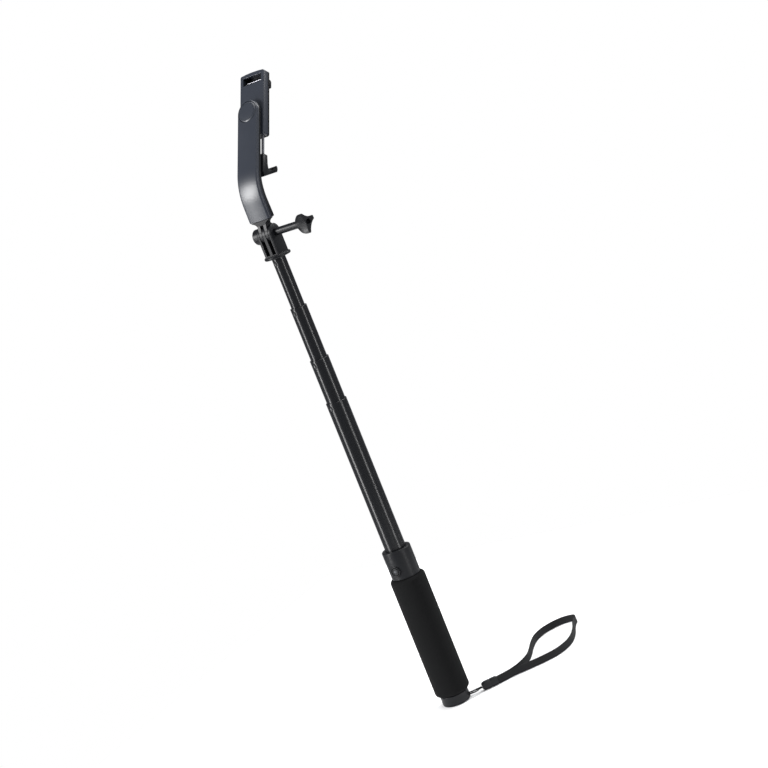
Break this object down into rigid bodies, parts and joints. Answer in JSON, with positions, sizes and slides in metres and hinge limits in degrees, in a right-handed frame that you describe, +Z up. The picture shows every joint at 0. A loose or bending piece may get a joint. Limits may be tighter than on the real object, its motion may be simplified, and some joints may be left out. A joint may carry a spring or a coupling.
{
  "type": "selfie stick",
  "caption": "Hand-held telescopic selfie stick with foam grip, shutter button, folding head, sprung phone clamp and wrist strap.",
  "frame": {"origin": "centre of the foam grip on the pole's axis", "axes": "+Z up the pole towards the clamp; -Y faces the shutter button; +X is the thumbscrew side"},
  "size_m": [0.0876, 0.1544, 0.5479],
  "materials": {
    "anodised": "black satin anodised",
    "black_plastic": "fine satin",
    "slate_plastic": "satin slate grey",
    "foam": "matt foam",
    "pad_rubber": "matt",
    "cord": "woven",
    "steel": "bright",
    "guide_plastic": "natural acetal",
    "cell_sleeve": "shrink sleeve",
    "board": "solder mask",
    "film": "polyimide film"
  },
  "bodies": {
    "handle": {"end_cap": "black_plastic", "lanyard_pin": "steel", "foam_grip": "foam", "handle_core": "black_plastic", "flex_lead": "film", "collar": "black_plastic", "button_bezel": "black_plastic", "dome_switch": "steel", "circuit_board": "board", "battery_cell": "cell_sleeve", "battery_spring": "steel", "outer_tube": "anodised", "tube_base_plug": "guide_plastic", "lanyard_cord": "cord", "strap_crimp": "black_plastic", "strap_webbing": "cord"},
    "button": {"shutter_button": "black_plastic"},
    "tube_2": {"sliding_tube_2": "anodised", "end_plug_2": "guide_plastic"},
    "tube_3": {"sliding_tube_3": "anodised", "end_plug_3": "guide_plastic"},
    "tube_4": {"sliding_tube_4": "anodised", "end_plug_4": "guide_plastic", "head_mount": "black_plastic", "captive_nut": "steel"},
    "thumbscrew": {"thumbscrew_bolt": "steel", "thumbscrew_knob": "black_plastic"},
    "arm": {"arm_frame": "black_plastic", "arm_cover": "slate_plastic", "arm_screw_upper": "steel", "arm_screw_lower": "steel", "pivot_cap": "slate_plastic", "pivot_screw": "steel", "pivot_washer": "guide_plastic"},
    "clamp": {"clamp_sleeve": "slate_plastic", "clamp_back_plate": "black_plastic", "upper_jaw_pad": "pad_rubber", "back_pad": "pad_rubber", "spring_anchor_pin": "steel", "pivot_nut": "steel", "tension_spring_left": "steel", "tension_spring_right": "steel"},
    "jaw": {"lower_jaw": "black_plastic", "guide_rod_left": "steel", "guide_rod_right": "steel", "lower_jaw_pad": "pad_rubber"}
  },
  "joints": [
    {"name": "shutter_press", "type": "slide", "parent": "handle", "child": "button", "axis": [0, 1, 0], "range_m": [0, 0.0005], "stiffness_N_per_m": 800},
    {"name": "tube_2_slide", "type": "slide", "parent": "handle", "child": "tube_2", "axis": [0, 0, 1], "range_m": [-0.034, 0.125]},
    {"name": "tube_3_slide", "type": "slide", "parent": "tube_2", "child": "tube_3", "axis": [0, 0, 1], "range_m": [-0.042, 0.11]},
    {"name": "tube_4_slide", "type": "slide", "parent": "tube_3", "child": "tube_4", "axis": [0, 0, 1], "range_m": [-0.04, 0.105]},
    {"name": "thumbscrew_turn", "type": "hinge", "parent": "tube_4", "child": "thumbscrew", "pos_m": [0, 0, 0.3604], "axis": [1, 0, 0], "continuous": true},
    {"name": "arm_tilt", "type": "hinge", "parent": "tube_4", "child": "arm", "pos_m": [0, 0, 0.3604], "axis": [1, 0, 0], "range_deg": [-90, 90]},
    {"name": "clamp_turn", "type": "hinge", "parent": "arm", "child": "clamp", "pos_m": [0, 0.04613, 0.44808], "axis": [0, 0.8141, -0.5807], "continuous": true},
    {"name": "jaw_slide", "type": "slide", "parent": "clamp", "child": "jaw", "axis": [0, -0.5807, -0.8141], "range_m": [-0.016, 0.005]}
  ]
}
